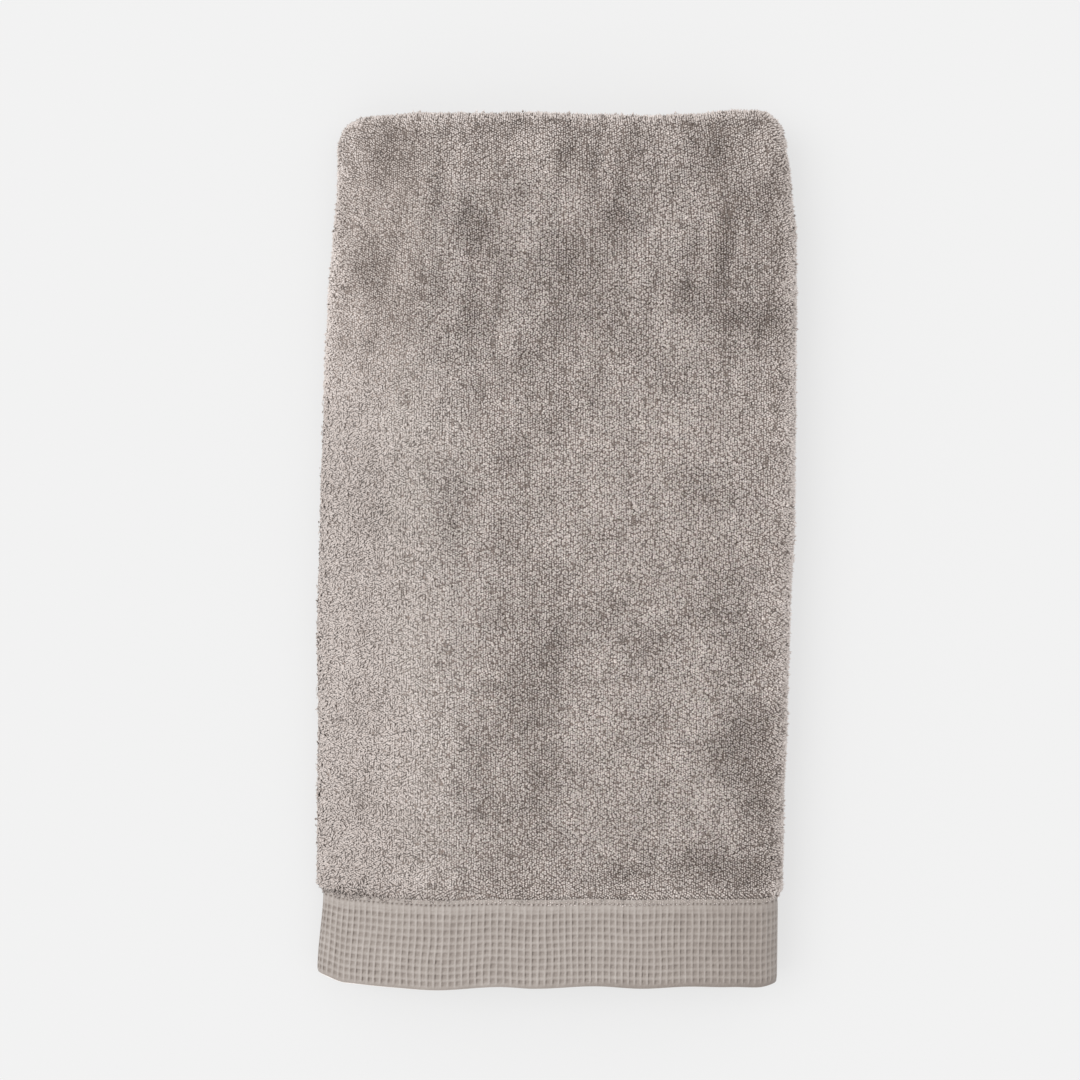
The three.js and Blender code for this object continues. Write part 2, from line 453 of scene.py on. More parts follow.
def newGroup(name, inputs, outputs):
    # a node group with named sockets, each given as its name, kind and value where it has one
    group = bpy.data.node_groups.new(name, "ShaderNodeTree")
    for way, sockets in (("INPUT", inputs), ("OUTPUT", outputs)):
        for label, kind, *value in sockets:
            socket = group.interface.new_socket(name=label, in_out=way, socket_type=kind)
            if value:
                socket.default_value = value[0]
    given, out = group.nodes.new("NodeGroupInput"), group.nodes.new("NodeGroupOutput")
    return group, given.outputs, out.inputs


def placedGroup(nodes, group):
    node = nodes.new("ShaderNodeGroup")
    node.name = group.name
    node.node_tree = group
    return node


def yarnGroup():
    # fine twisted yarn: a height for bump, and a mottled tone that stays close to 1
    group, given, out = newGroup(
        "yarnTwist", [("Place", "NodeSocketVector"), ("Mottle", "NodeSocketFloat", 0.06)],
        [("Height", "NodeSocketFloat"), ("Tone", "NodeSocketFloat")])
    nodes, links = group.nodes, group.links
    fibre, speck = nodes.new("ShaderNodeTexNoise"), nodes.new("ShaderNodeTexNoise")
    for texture, size, detail in ((fibre, cloth["fibreScale"], 2), (speck, cloth["speckScale"], 3)):
        texture.inputs["Scale"].default_value = size
        texture.inputs["Detail"].default_value = detail
        links.new(given["Place"], texture.inputs["Vector"])
    links.new(fibre.outputs["Fac"], out["Height"])
    centred = mathNode(nodes, links, "SUBTRACT", speck.outputs["Fac"], 0.5)
    swing = mathNode(nodes, links, "MULTIPLY", centred, given["Mottle"])
    links.new(mathNode(nodes, links, "ADD", mathNode(nodes, links, "MULTIPLY", swing, 2), 1),
              out["Tone"])
    return group


def tintGroup():
    # a base colour made lighter or darker by two tones, which carry painted light and shade as well
    # as random mottle, and a little warmer where it is darker, so that the painted shade is warm
    group, given, out = newGroup(
        "clothTint", [("Colour", "NodeSocketColor"), ("Shade", "NodeSocketFloat", 1.0),
                      ("Tone", "NodeSocketFloat", 1.0)], [("Colour", "NodeSocketColor")])
    nodes, links = group.nodes, group.links
    both = mathNode(nodes, links, "MULTIPLY", given["Shade"], given["Tone"])
    tint = nodes.new("ShaderNodeVectorMath")
    tint.operation = "SCALE"
    links.new(given["Colour"], tint.inputs[0])
    links.new(both, tint.inputs["Scale"])
    dark = mathNode(nodes, links, "SUBTRACT", 1.0, both, True)
    warmth = nodes.new("ShaderNodeVectorMath")
    warmth.operation = "MULTIPLY_ADD"
    warmth.inputs[1].default_value = cloth["darkWarmth"]
    warmth.inputs[2].default_value = (1.0, 1.0, 1.0)
    links.new(dark, warmth.inputs[0])
    warmed = nodes.new("ShaderNodeVectorMath")
    warmed.operation = "MULTIPLY"
    links.new(tint.outputs[0], warmed.inputs[0])
    links.new(warmth.outputs[0], warmed.inputs[1])
    links.new(warmed.outputs[0], out["Colour"])
    return group


def ridgeOf(nodes, links, place, size, power):
    # 1 on the ridges of a weave that repeats at the given size, 0 between them
    turns = mathNode(nodes, links, "MULTIPLY", place, 2 * math.pi / size)
    wave = mathNode(nodes, links, "COSINE", turns)
    half = mathNode(nodes, links, "ADD", mathNode(nodes, links, "MULTIPLY", wave, 0.5), 0.5)
    return mathNode(nodes, links, "POWER", half, power)


def reliefGroup(name, heightOf, toneDepth):
    # a pattern over the flat cloth: its height, and a tone with painted shade in its hollows
    group, given, out = newGroup(
        name, [("Place", "NodeSocketVector")],
        [("Height", "NodeSocketFloat"), ("Tone", "NodeSocketFloat")])
    nodes, links = group.nodes, group.links
    height = heightOf(nodes, links, given["Place"])
    links.new(height, out["Height"])
    lift = mathNode(nodes, links, "MULTIPLY", height, toneDepth)
    links.new(mathNode(nodes, links, "ADD", lift, cloth["reliefTop"] - toneDepth), out["Tone"])
    return group


def waffleHeight(nodes, links, place):
    parts = nodes.new("ShaderNodeSeparateXYZ")
    links.new(place, parts.inputs[0])
    upright = ridgeOf(nodes, links, parts.outputs["X"], weave["cellAcross"] * mm,
                      weave["uprightPower"])
    cross = ridgeOf(nodes, links, parts.outputs["Y"], weave["cellAlong"] * mm, weave["crossPower"])
    cross = mathNode(nodes, links, "MULTIPLY", cross, weave["backCross"])
    return mathNode(nodes, links, "MAXIMUM", upright, cross)


def pileHeight(nodes, links, place):
    cells = nodes.new("ShaderNodeTexVoronoi")
    cells.voronoi_dimensions = "2D"
    cells.inputs["Scale"].default_value = cloth["tuftScale"]
    links.new(place, cells.inputs["Vector"])
    return mathNode(nodes, links, "SUBTRACT", 1.0, cells.outputs["Distance"], True)


yarnTwist, clothTint = yarnGroup(), tintGroup()
waffleField = reliefGroup("waffleField", waffleHeight, toneDepth=0.42)
pileField = reliefGroup("pileField", pileHeight, toneDepth=0.85)


def bumpNode(nodes, links, height, strength, depth):
    bump = nodes.new("ShaderNodeBump")
    bump.inputs["Strength"].default_value = strength
    bump.inputs["Distance"].default_value = depth
    links.new(height, bump.inputs["Height"])
    return bump


def clothMaterial(name, colour, mottle, yarnDepth, relief=None, reliefDepth=0.0):
    material = bpy.data.materials.new(name)
    material.use_nodes = True
    material.diffuse_color = (*colour, 1)
    nodes, links = material.node_tree.nodes, material.node_tree.links
    shader = nodes["Principled BSDF"]
    shader.inputs["Roughness"].default_value = cloth["roughness"]
    shader.inputs["Specular IOR Level"].default_value = cloth["specular"]
    shader.inputs["Sheen Weight"].default_value = cloth["sheen"]
    shader.inputs["Sheen Roughness"].default_value = cloth["sheenRoughness"]
    where = nodes.new("ShaderNodeTexCoord")
    yarn = placedGroup(nodes, yarnTwist)
    yarn.inputs["Mottle"].default_value = mottle
    links.new(where.outputs["Object"], yarn.inputs["Place"])
    # the painted light and shade that each piece keeps on its points
    shade = nodes.new("ShaderNodeAttribute")
    shade.attribute_name = "paintedShading"
    tint = placedGroup(nodes, clothTint)
    tint.inputs["Colour"].default_value = (*colour, 1)
    links.new(shade.outputs["Fac"], tint.inputs["Shade"])
    links.new(yarn.outputs["Tone"], tint.inputs["Tone"])
    links.new(tint.outputs["Colour"], shader.inputs["Base Color"])
    bump = bumpNode(nodes, links, yarn.outputs["Height"], cloth["fibreStrength"], yarnDepth)
    links.new(bump.outputs["Normal"], shader.inputs["Normal"])
    if relief:
        flat = nodes.new("ShaderNodeUVMap")
        flat.uv_map = "flatCloth"
        pattern = placedGroup(nodes, relief)
        links.new(flat.outputs["UV"], pattern.inputs["Place"])
        links.new(mathNode(nodes, links, "MULTIPLY", yarn.outputs["Tone"], pattern.outputs["Tone"]),
                  tint.inputs["Tone"])
        form = bumpNode(nodes, links, pattern.outputs["Height"], cloth["reliefStrength"],
                        reliefDepth)
        links.new(form.outputs["Normal"], bump.inputs["Normal"])
    return material


def loopedMaterial(name, colour):
    # cloth that also darkens towards the feet of its loops, which their neighbours shade
    material = clothMaterial(name, colour, mottle=0.10, yarnDepth=0.25 * mm)
    nodes, links = material.node_tree.nodes, material.node_tree.links
    standing = nodes.new("ShaderNodeAttribute")
    standing.attribute_name = "standing"
    below = mathNode(nodes, links, "SUBTRACT", 1.0, standing.outputs["Fac"], True)
    curved = mathNode(nodes, links, "POWER", below, pile["roundness"])
    lost = mathNode(nodes, links, "MULTIPLY", curved, 1 - pile["footShade"])
    depth = mathNode(nodes, links, "SUBTRACT", 1.0, lost)
    links.new(mathNode(nodes, links, "MULTIPLY", depth, nodes["yarnTwist"].outputs["Tone"]),
              nodes["clothTint"].inputs["Tone"])
    return material


loopMaterial = loopedMaterial("terryLoop", cloth["loop"])
waffleMaterial = clothMaterial("waffleWeave", cloth["waffle"], mottle=0.07, yarnDepth=0.15 * mm)
threadMaterial = clothMaterial("hemThread", cloth["thread"], mottle=0.05, yarnDepth=0.1 * mm)
# painted shade on the cloth under the loops
shadedGroundMaterial = clothMaterial("shadedTerryGround", cloth["ground"], mottle=0.12, yarnDepth=0.3 * mm,
                               relief=pileField, reliefDepth=0.6 * mm)
pileMaterial = clothMaterial("terryPile", cloth["pile"], mottle=0.10, yarnDepth=0.3 * mm,
                             relief=pileField, reliefDepth=1.2 * mm)
backWaffle = clothMaterial("waffleBack", cloth["waffle"], mottle=0.07, yarnDepth=0.15 * mm,
                           relief=waffleField, reliefDepth=0.7 * mm)
print("materials made")

# the cloth itself, thinner where the loops and the waffle stand on it. Each pair says where that
# starts or ends, in millimetres past the nose, the tucked third or a fold.
clothSheet = {
    "loopedThickness": 1.0,
    "waffleCore": 0.8,
    "noseLoops": (-20, -8),
    "tuckedLoops": (-4, 6),
    "topLoops": (-12, -2),
    "topLoopsEnd": (2, 12),
    "bottomLoops": (-12, -3),
    "bottomLoopsEnd": (3, 12),
    "noseWaffle": (-14, -10),
    "tuckedWaffle": (2, 6),
    "foldMargin": 14,
}
acrossStations = stationsOf([
    (noseAlong, 26), (slopeAlong, 12), (frontAlong, 16), (rightAlong, 36), (tuckedAlong, 14),
    (towel["width"], 20)])
borderTop = towel["borderDepth"] + towel["borderStep"]
topFoldEnd = topFoldAlong + math.pi * pitch
bottomFoldEnd = bottomFoldAlong + math.pi * pitch / 2
alongStations = stationsOf([
    (towel["borderDepth"], 12), (borderTop, 3), (topFoldAlong, 60), (topFoldEnd, 10),
    (topFoldEnd + clothSheet["foldMargin"], 3), (bottomFoldAlong - clothSheet["foldMargin"], 24),
    (bottomFoldAlong, 3), (bottomFoldEnd, 8), (bottomFoldEnd + clothSheet["foldMargin"], 3),
    (towel["length"] - borderTop, 30), (towel["length"] - towel["borderDepth"], 2),
    (towel["length"], 4)])
sheetMesh, across, along = sheetGrid(
    "towelCloth", acrossStations, alongStations, lambda u, v: np.zeros_like(u))


def past(place, change, at):
    # 0 to 1 over a change, which is given by the name of its pair of distances past a place
    start, end = clothSheet[change]
    return ease(place + start, place + end, at)


borderShare = 1 - np.clip((np.minimum(along, towel["length"] - along) - towel["borderDepth"])
                          / towel["borderStep"], 0, 1)
inFront = (past(noseAlong, "noseLoops", across) * (1 - past(tuckedAlong, "tuckedLoops", across))
           * (1 - past(topFoldEnd, "topLoopsEnd", along)))
inTopFold = (past(topFoldAlong, "topLoops", along)
             * (1 - past(topFoldEnd, "topLoopsEnd", along)))
inBottomFold = (past(bottomFoldAlong, "bottomLoops", along)
                * (1 - past(bottomFoldEnd, "bottomLoopsEnd", along)))
inLoops = np.maximum(inFront, np.maximum(inTopFold, inBottomFold))
inWaffle = (past(noseAlong, "noseWaffle", across)
            * (1 - past(tuckedAlong, "tuckedWaffle", across)))
terryCore = (towel["terryThickness"]
             + (clothSheet["loopedThickness"] - towel["terryThickness"]) * inLoops)
borderCore = (towel["borderThickness"]
              + (clothSheet["waffleCore"] - towel["borderThickness"]) * inWaffle)
thickness = terryCore * (1 - borderShare) + borderCore * borderShare
places = np.empty(len(sheetMesh.vertices) * 3)
sheetMesh.vertices.foreach_get("co", places)
places = places.reshape(-1, 3) / mm
# the cloth keeps the brushed pile's painted light and shade, lightened on the front where the pile
# lies close or combed, as less painted shade falls between the loops there
napShading = paintedShading(places[:, 0], places[:, 1])
closeness = ease(*pile["closeNap"], napShading) * (
    pile["closeGround"] + pile["combedGround"] * combedShare(places[:, 0], places[:, 1]))
keepShade(sheetMesh, napShading * (1 + closeness * inFront))
towelCloth = linked("towelCloth", sheetMesh, shadedGroundMaterial, pileMaterial, backWaffle)

# the first material, dark with painted shade, lies under the loops, the second where none are made,
# the third on the borders
corners = np.empty(len(sheetMesh.loops), dtype=np.int32)
sheetMesh.loops.foreach_get("vertex_index", corners)
faceCorners = corners.reshape(-1, 4)
faceBorder = borderShare[faceCorners].mean(1) > 0.5
faceLoops = inLoops[faceCorners].mean(1) > 0.5
slots = np.where(faceBorder, 2, np.where(faceLoops, 0, 1)).astype(np.int32)
sheetMesh.polygons.foreach_set("material_index", slots)

thick = towelCloth.vertex_groups.new(name="thickness")
levels = np.round(thickness / towel["terryThickness"], 3)
for level in np.unique(levels):
    thick.add(np.flatnonzero(levels == level).tolist(), float(level), "REPLACE")
solid = towelCloth.modifiers.new("clothThickness", "SOLIDIFY")
solid.thickness = towel["terryThickness"] * mm
solid.offset = 0
solid.vertex_group = "thickness"
solid.use_even_offset = True
solid.use_quality_normals = True
print("cloth laid and folded")


def loopShape():
    # a loop as it shows in the pile: a small four-sided peak, one high, from its foot at -0.5
    bm = bmesh.new()
    bmesh.ops.create_cone(bm, cap_ends=True, segments=4, radius1=1, radius2=0, depth=1)
    mesh = bpy.data.meshes.new("loopShape")
    bm.to_mesh(mesh)
    bm.free()
    shape = np.empty(len(mesh.vertices) * 3)
    mesh.vertices.foreach_get("co", shape)
    corners = [list(face.vertices) for face in mesh.polygons]
    bpy.data.meshes.remove(mesh)
    return shape.reshape(-1, 3), corners


def sunkLoops(x, y, napShading):
    # 1 for the loops that lie deep between the clumps, more of them where the pile is painted dark
    drawn = 1 - pile["partingDrawn"] * ease(*brushedShading["drawnOut"], y)
    partings = waviness(x, y * drawn, size=pile["partingSize"], seed=14)
    parting = 1 - ease(*pile["partingWidth"], np.abs(partings))
    (fine, fineSize), (wide, wideSize) = pile["finePits"], pile["widePits"]
    uneven = (fine * waviness(x, y, fineSize, seed=13) + wide * waviness(x, y, wideSize, seed=15)
              + (parting - pile["partingMean"]))
    spread = np.where(napShading < 1, pile["pitSpread"], pile["pitSpread"] * pile["pitLightSpread"])
    level = pile["pitLevel"] + spread * (napShading - 1)
    return ease(level, level + pile["pitSoftness"], uneven)


def repeated(name, faces, smooth, places):
    # one mesh of many copies of a small shape, from the places of each copy's points in
    # millimetres, with its faces smooth or flat as given
    count, size = places.shape[:2]
    corners = np.concatenate(faces).astype(np.int64)
    totals = np.tile([len(face) for face in faces], count)
    allCorners = (corners[None, :] + (np.arange(count) * size)[:, None]).ravel()
    mesh = bpy.data.meshes.new(name)
    mesh.vertices.add(count * size)
    mesh.vertices.foreach_set("co", (places * mm).astype(np.float32).ravel())
    mesh.loops.add(len(allCorners))
    mesh.loops.foreach_set("vertex_index", allCorners.astype(np.int32))
    mesh.polygons.add(len(totals))
    starts = np.concatenate([[0], np.cumsum(totals)[:-1]])
    mesh.polygons.foreach_set("loop_start", starts.astype(np.int32))
    mesh.polygons.foreach_set("use_smooth", np.tile(smooth, count))
    mesh.update(calc_edges=True)
    mesh.validate()
    return mesh


def frameOn(across, along, height, step=0.4, lift=0.5):
    # places on the folded towel, with the directions across, along and out of the cloth there
    here = onTowel(across, along, height)
    towardsAcross = onTowel(across + step, along, height) - here
    towardsAcross /= np.linalg.norm(towardsAcross, axis=1, keepdims=True)
    up = onTowel(across, along, height + lift) - here
    up -= towardsAcross * np.einsum("ij,ij->i", up, towardsAcross)[:, None]
    up /= np.linalg.norm(up, axis=1, keepdims=True)
    return here, towardsAcross, np.cross(up, towardsAcross), up


def clumped(across, along):
    # the loops drawn together in clumps, with gaps left between them
    fadeStart, fadeEnd = pile["clumpFade"]
    drawn = 1 - pile["clumpDrawn"] * ease(topFoldAlong + fadeStart, topFoldAlong + fadeEnd, along)
    reach = pile["clumpReach"]

    def bumps(u, v):
        return waviness(u, v * drawn, size=pile["clumpSize"], seed=19)

    slopeU = bumps(across + reach, along) - bumps(across - reach, along)
    slopeV = bumps(across, along + reach) - bumps(across, along - reach)
    pull = pile["clumpPull"]
    return across + pull * slopeU / (2 * reach), along + pull * slopeV / (2 * reach)


def pileOf(name, across, along, seed, pitShare=1.0):
    # loops that stand at the given places of the flat cloth
    dice = np.random.default_rng(seed)
    count = len(across)
    across, along = clumped(across, along)
    template, faces = loopShape()
    laid = onTowel(across, along, pile["root"])
    napShading = paintedShading(laid[:, 0], laid[:, 1])
    # painted shade on the loops along the pile's lower edge
    napShading -= pile["edgeDark"] * np.exp(-((along - towel["borderDepth"]) / pile["edgeSpread"]) ** 2)
    combed = combedShare(laid[:, 0], laid[:, 1])
    sunk = sunkLoops(laid[:, 0], laid[:, 1], napShading) * pitShare * (1 - pile["combedPits"] * combed)
    stray = (dice.random(count) < pile["strayShare"]) * dice.uniform(*pile["strayLift"], count)
    height = (pile["root"] + dice.normal(0, pile["unevenRoot"], count) - pile["pitSink"] * sunk
              + pile["combedLift"] * pile["rise"] * pile["combedRise"] * combed + stray)
    here, towardsAcross, ahead, up = frameOn(across, along, height)

    # each loop's own directions: along it, to its side and out of the cloth
    swirl = waviness(across, along, size=pile["swirlSize"], seed=11)
    angle = math.pi * pile["swirlTurn"] * swirl + math.pi / 2
    angle = (angle * (1 - pile["combedStraight"] * combed)
             + dice.normal(0, pile["swirlUneven"], count))
    way = towardsAcross * np.cos(angle)[:, None] + ahead * np.sin(angle)[:, None]
    side = np.cross(up, way)
    tilt = dice.normal(0, pile["lean"], count)[:, None]
    tipped = way * np.cos(tilt) + up * np.sin(tilt)
    raised = np.cross(tipped, side)

    close = ease(*pile["closeNap"], napShading) * (1 - sunk)
    length = (pile["halfLength"] * (1 + pile["combedLength"] * combed)
              * dice.uniform(*pile["lengthSpread"], count))
    thick = (pile["halfThick"] * dice.uniform(*pile["thickSpread"], count)
             * (1 - pile["openThin"] * (1 - close)))
    rise = pile["rise"] * (1 - pile["combedRise"] * combed)
    length, thick, rise = (size[:, None, None] for size in (length, thick, rise))
    s, w, h = (template[:, i][None, :, None] for i in range(3))
    places = (here[:, None, :] + tipped[:, None, :] * s * length + side[:, None, :] * w * thick
              + raised[:, None, :] * h * rise)
    places[:, :, 2] = np.maximum(places[:, :, 2], pile["pressedFlat"])
    mesh = repeated(name, faces, [len(face) == 3 for face in faces], places)

    toneSpread = pile["toneSpread"] * (1 - pile["combedEven"] * combed)
    tone = np.clip(dice.normal(1, toneSpread, count), *pile["toneLimits"])
    # each loop's painted light and shade from the brushed pile, a random tone, darker where combed,
    # and painted shade on the loops sunk between the clumps
    shade = (np.sqrt(napShading) * tone * (1 - pile["combedTone"] * combed)
             * (1 - (1 - pile["pitShade"]) * sunk))
    keepShade(mesh, np.repeat(shade, len(template)))
    # how far the painted shade at the feet of the loops is lifted, more where the pile lies close
    # or combed
    foot = close * (pile["closeFoot"] + pile["combedFoot"] * combed)
    keepShade(mesh, np.where(template[:, 2] > 0, 1.0, foot[:, None]).ravel(), "standing")
    return linked(name, mesh, loopMaterial)


def scattered(acrossSteps, alongSteps, seed):
    # uneven places in columns, with every other column half a step further along
    dice = np.random.default_rng(seed)
    across, along = np.meshgrid(acrossSteps, alongSteps)
    stepU, stepV = np.diff(acrossSteps).mean(), np.diff(alongSteps).mean()
    along = along + (np.arange(len(acrossSteps)) % 2) * stepV / 2
    across = across + dice.normal(0, pile["jitter"], across.shape) * stepU
    along = along + dice.normal(0, pile["jitter"], along.shape) * stepV
    return across.ravel(), along.ravel()


# loops on the front, from round the nose to the tucked third, with an uneven lower edge that
# hangs further over the border in the middle
outerLevel, outerFace = bundleHalf, towel["terryThickness"] / 2
frontU = evenSteps(widthPath, outerLevel, noseAlong - pile["noseReach"],
                   tuckedAlong + pile["tuckedReach"], pile["pitch"])
frontV = evenSteps(lengthPath, outerFace, towel["borderDepth"] - pile["borderReach"],
                   topFoldEnd + pile["foldReach"], pile["pitch"])
pileU, pileV = scattered(frontU, frontV, seed=21)
hang = (pile["fringeHang"] * ease(*pile["fringeLeft"], pileU - frontAlong)
        * ease(*pile["fringeRight"], rightAlong - pileU))
fringe = (towel["borderDepth"] - pile["fringeGap"] - hang
          + pile["fringeUneven"] * waviness(pileU, 0, size=4, seed=17))
pileU, pileV = pileU[pileV > fringe], pileV[pileV > fringe]
parts = math.ceil(len(pileU) / pile["perPiece"])
for part in range(parts):
    chosen = slice(part * len(pileU) // parts, (part + 1) * len(pileU) // parts)
    pileOf(f"frontPile_{part + 1}", pileU[chosen], pileV[chosen], seed=40 + part)
print("loops on the front:", len(pileU))


def foldLoops(first, last, start, end, reach):
    # loops on a fold of the layers behind the front, and a reach before and after it
    before, after = reach
    steps = evenSteps(lengthPath, outerFace, start - before, end + after, pile["pitch"])
    return scattered(np.arange(first, last, pile["pitch"]), steps, seed=round(first) + 3)


nearSide, farSide = pile["sideGap"], towel["width"] - pile["sideGap"]
foldRows = [
    foldLoops(nearSide, noseAlong - pile["noseReach"], topFoldAlong, topFoldEnd,
              pile["leftFoldReach"]),
    foldLoops(tuckedAlong, farSide, topFoldAlong, topFoldEnd, pile["rightFoldReach"]),
    foldLoops(nearSide, farSide, bottomFoldAlong, bottomFoldEnd, pile["bottomFoldReach"])]
foldU, foldV = (np.concatenate([row[i] for row in foldRows]) for i in range(2))
foldPile = pileOf("foldPile", foldU, foldV, seed=60, pitShare=pile["foldPits"])
print("loops on the inner folds:", len(foldU))

# the waffle weave of the front border, raised off the cloth and turned round the hem's edge: its
# heights in millimetres, then how light or dark each part of it is painted, mostly painted light
# and shade of its ridges, pits and lip
waffle = {
    "samples": 6,
    "lipSamples": 8,
    "rows": 12,
    "overlap": 1.2,
    "noseReach": 12,
    "tuckedReach": 4,
    "topPits": 39.9,
    "strip": (42.4, 43.6),
    "wander": (0.06, 0.05),
    "base": 0.72,
    "ridge": 0.7,
    "crossRidge": 0.5,
    "stitchDip": 0.6,
    "lipRelief": 0.35,
    "lipRadius": 0.8,
    "lipFade": (0.6, 2.6),
    "lipWide": 0.5,
    "lipShade": 0.78,
    "lipDim": 0.12,
    "lipAcross": (-25, 35),
    "ridgeShade": 1.08,
    "crossShade": 0.94,
    "pitShade": 0.74,
    "sideShade": 0.4,
    "sideAt": (0.2, 0.1),
    "rowShade": 0.16,
    "rowAt": (0.72, 0.12),
    "crossSide": 0.4,
    "slant": 0.1,
    "unevenPits": (0.55, 1.3),
    "unevenCells": (400, 40),
    "fleck": 0.04,
    "level": 0.95,
    "rightDim": 0.15,
    "rightDimAcross": (20, 125),
    "mottling": 0.03,
    "stitchLine": 46.4,
    "stitchPitch": 2.55,
    "stitchPower": 1.2,
    "stitchWide": 0.55,
    "stitchShade": 0.7,
}
waffleU = evenSteps(widthPath, outerLevel, noseAlong - waffle["noseReach"],
                    tuckedAlong + waffle["tuckedReach"], weave["cellAcross"] / waffle["samples"])
cellOf = np.arange(len(waffleU)) / waffle["samples"]
lipStart = waffle["lipRadius"] * (1 - math.pi)
waffleV = np.concatenate([
    np.linspace(lipStart, waffle["lipRadius"], waffle["lipSamples"] + 1),
    np.linspace(waffle["lipRadius"], towel["borderDepth"] + waffle["overlap"],
                waffle["rows"] * waffle["samples"] + 1)[1:]])


def waffleCell(u, v):
    # the place in the weave, in cells from a ridge and from the middle of a row of pits
    wanderU, wanderV = waffle["wander"]
    cellU = np.interp(u, waffleU, cellOf) + wanderU * waviness(u, v, size=12, seed=31)
    cellV = ((v - waffle["topPits"]) / weave["cellAlong"] + 0.5
             + wanderV * waviness(u, v, size=16, seed=32))
    return cellU, cellV


def ridges(cells, power):
    # 1 at whole cells and 0 halfway between them
    return (0.5 + 0.5 * np.cos(2 * math.pi * cells)) ** power


def borderX(u, v):
    # how far to the right points of the border lie on the folded towel
    return onTowel(u, v, 1.0)[:, 0]


def waffleParts(u, v):
    # how far a point stands on an upright ridge, on a cross ridge or the plain strip above them,
    # in a stitch of that strip and on the hem's lip
    cellU, cellV = waffleCell(u, v)
    uprights = ridges(cellU, weave["uprightPower"])
    strip = ease(*waffle["strip"], v)
    cross = np.maximum(ridges(cellV, weave["crossPower"]), strip)
    stitch = ridges(u / waffle["stitchPitch"], waffle["stitchPower"])
    stitch *= np.exp(-((v - waffle["stitchLine"]) / waffle["stitchWide"]) ** 2)
    lipDepth = 1 + waffle["lipWide"] * ease(*waffle["lipAcross"], borderX(u, v))
    lipInner, lipOuter = waffle["lipFade"]
    edge = 1 - ease(lipInner, lipOuter * lipDepth, v)
    return uprights, cross, stitch * strip, edge


def waffleRelief(u, v):
    # 0 in the pits and 1 on the upright ridges
    uprights, cross, stitch, edge = waffleParts(u, v)
    relief = np.maximum(uprights, cross * waffle["crossRidge"] / waffle["ridge"])
    relief -= waffle["stitchDip"] * stitch
    return relief * (1 - edge) + edge * waffle["lipRelief"]


def near(cells, place, spread):
    # 1 at a place in each cell, less away from it
    return np.exp(-(((cells % 1) - place) / spread) ** 2)


def waffleShade(u, v):
    # light ridges, duller cross ridges, and pits darkest beside the ridge and row that shade them
    uprights, cross, stitch, edge = waffleParts(u, v)
    cellU, cellV = waffleCell(u, v)
    dice = np.random.default_rng(seed=36)
    cellsU, cellsV = waffle["unevenCells"]
    uneven = dice.uniform(*waffle["unevenPits"], (cellsU, cellsV))[
        np.floor(cellU).astype(int) % cellsU, np.floor(cellV).astype(int) % cellsV]
    beside = near(cellU, *waffle["sideAt"])
    under = near(cellV, *waffle["rowAt"]) * (1 - uprights)
    # painted light that rises across each cell, away from the shaded side of its ridge
    rising = waffle["slant"] * ((cellU % 1) - 0.5)
    shaded = waffle["sideShade"] * beside + waffle["rowShade"] * under
    pitTone = waffle["pitShade"] - uneven * shaded
    crossTone = waffle["crossShade"] - waffle["crossSide"] * waffle["sideShade"] * beside
    shade = pitTone + (crossTone - pitTone) * cross + rising
    shade += (waffle["ridgeShade"] - shade) * uprights ** 2
    shade -= waffle["stitchShade"] * stitch
    x = borderX(u, v)
    # painted shade on the hem's lip where it rolls under, deeper towards the right
    lip = waffle["lipShade"] - waffle["lipDim"] * ease(*waffle["lipAcross"], x)
    shade = shade * (1 - edge) + lip * edge + waffle["fleck"] * dice.normal(0, 1, shade.shape)
    # painted shade, darker towards the right
    shade *= waffle["level"] - waffle["rightDim"] * ease(*waffle["rightDimAcross"], x)
    return shade * (1 + waffle["mottling"] * waviness(u, v, size=7, seed=34))


def lipTurn(v):
    # how far a point has turned under the hem's edge, in radians
    return np.clip((waffle["lipRadius"] - v) / waffle["lipRadius"], 0, math.pi)


def waffleOut(u, v):
    # how far the weave stands out from the middle of the cloth
    level = waffle["base"] + waffle["ridge"] * waffleRelief(u, v)
    return level * np.cos(lipTurn(v))


def waffleAlong(v):
    # where along the cloth it stands, with the lip rolled round the hem's edge
    turn = lipTurn(v)
    return np.where(turn > 0, waffle["lipRadius"] * (1 - np.sin(turn)), v)


waffleMesh, across, along = sheetGrid("waffleBorder", waffleU, waffleV, waffleOut, waffleAlong)
keepShade(waffleMesh, waffleShade(across, waffleAlong(along)))
waffleBorder = linked("waffleBorder", waffleMesh, waffleMaterial)
print("waffle faces:", len(waffleMesh.polygons))

# the sewing that holds the border, one thread between each pair of holes
stitches = {
    "level": 1.14,
    "halfLength": 0.8,
    "radius": 0.27,
    "sides": 6,
    "rings": 4,
    "noseReach": 8,
    "tuckedReach": 2,
    "unevenPlace": 0.07,
    "unevenTurn": 0.12,
    "rightDim": 0.1,
}


def stitchShape():
    # one thread, lying along X, with its faces in the same order on every run
    bm = bmesh.new()
    bmesh.ops.create_uvsphere(bm, u_segments=stitches["sides"], v_segments=stitches["rings"],
                              radius=1)
    shape = np.array([[vert.co.z, vert.co.x, vert.co.y] for vert in bm.verts])
    corners = sorted([vert.index for vert in face.verts] for face in bm.faces)
    bm.free()
    return shape, corners


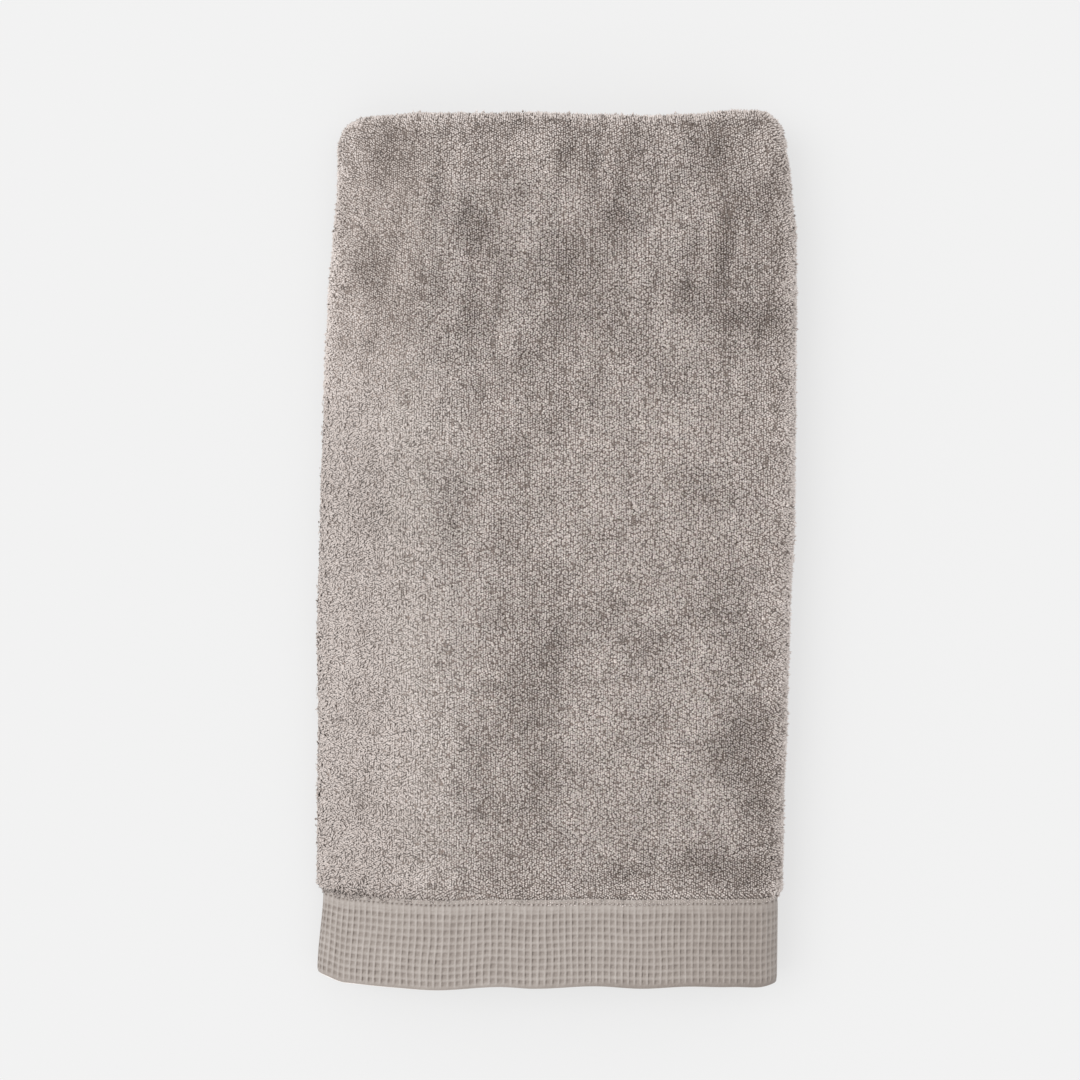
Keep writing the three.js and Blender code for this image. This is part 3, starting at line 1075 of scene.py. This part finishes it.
def stitchRow():
    dice = np.random.default_rng(seed=70)
    step = waffle["stitchPitch"]
    first = (noseAlong - stitches["noseReach"]) / step
    last = (tuckedAlong + stitches["tuckedReach"]) / step
    spots = (np.arange(math.ceil(first), last - 1) + 0.5) * step
    shape, corners = stitchShape()
    here, sideways, ahead, up = frameOn(
        spots, np.full_like(spots, waffle["stitchLine"]), stitches["level"])
    here = here + ahead * dice.normal(0, stitches["unevenPlace"], len(spots))[:, None]
    turn = dice.normal(0, stitches["unevenTurn"], len(spots))[:, None]
    way = sideways * np.cos(turn) + ahead * np.sin(turn)
    side = np.cross(up, way)
    s, w, h = (shape[:, i][None, :, None] for i in range(3))
    places = (here[:, None, :] + way[:, None, :] * s * stitches["halfLength"]
              + (side[:, None, :] * w + up[:, None, :] * h) * stitches["radius"])
    mesh = repeated("hemStitches", corners, [True] * len(corners), places)
    # painted shade, darker towards the right as on the border
    shade = 1 - stitches["rightDim"] * ease(*waffle["rightDimAcross"], here[:, 0])
    keepShade(mesh, np.repeat(shade, len(shape)))
    return linked("hemStitches", mesh, threadMaterial)


hemStitches = stitchRow()
print("border sewn")

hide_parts("towel")

# floor, light and camera
studio = {
    "floorHalf": 4,
    "floorColour": (0.2, 0.2, 0.2),
    "floorGlow": 0.62,
    "floorRoughness": 0.9,
    "skyStrength": 1.04,
    "sunPower": 1.16,
    "sunSpread": 40,
    "sunHeight": 56,
    "sunTurn": -12,
    "cameraPlace": (-8.9, 3.7, 1265),
    "lens": 74.08,
    "sensor": 36,
}
bm = bmesh.new()
bmesh.ops.create_grid(bm, x_segments=1, y_segments=1, size=studio["floorHalf"])
floorMesh = bpy.data.meshes.new("floor")
bm.to_mesh(floorMesh)
bm.free()
floor = bpy.data.objects.new("floor", floorMesh)
scene.collection.objects.link(floor)
floorMaterial = bpy.data.materials.new("paleFloor")
floorMaterial.use_nodes = True
paint = floorMaterial.node_tree.nodes["Principled BSDF"]
paint.inputs["Base Color"].default_value = (*studio["floorColour"], 1)
paint.inputs["Roughness"].default_value = studio["floorRoughness"]
paint.inputs["Specular IOR Level"].default_value = 0.0
paint.inputs["Emission Color"].default_value = (1, 1, 1, 1)
paint.inputs["Emission Strength"].default_value = studio["floorGlow"]
floorMesh.materials.append(floorMaterial)

world = bpy.data.worlds.new("softSky")
world.use_nodes = True
world.node_tree.nodes["Background"].inputs["Color"].default_value = (1, 1, 1, 1)
world.node_tree.nodes["Background"].inputs["Strength"].default_value = studio["skyStrength"]
scene.world = world

sunLight = bpy.data.lights.new("sideLight", "SUN")
sunLight.energy = studio["sunPower"]
sunLight.angle = math.radians(studio["sunSpread"])
sun = bpy.data.objects.new("sideLight", sunLight)
sun.rotation_euler = (0, math.radians(studio["sunHeight"] - 90), math.radians(studio["sunTurn"]))
scene.collection.objects.link(sun)

lens = bpy.data.cameras.new("camera")
lens.lens = studio["lens"]
lens.sensor_width = studio["sensor"]
camera = bpy.data.objects.new("camera", lens)
camera.location = [value * mm for value in studio["cameraPlace"]]
scene.collection.objects.link(camera)
scene.camera = camera
scene.view_settings.view_transform = "Standard"
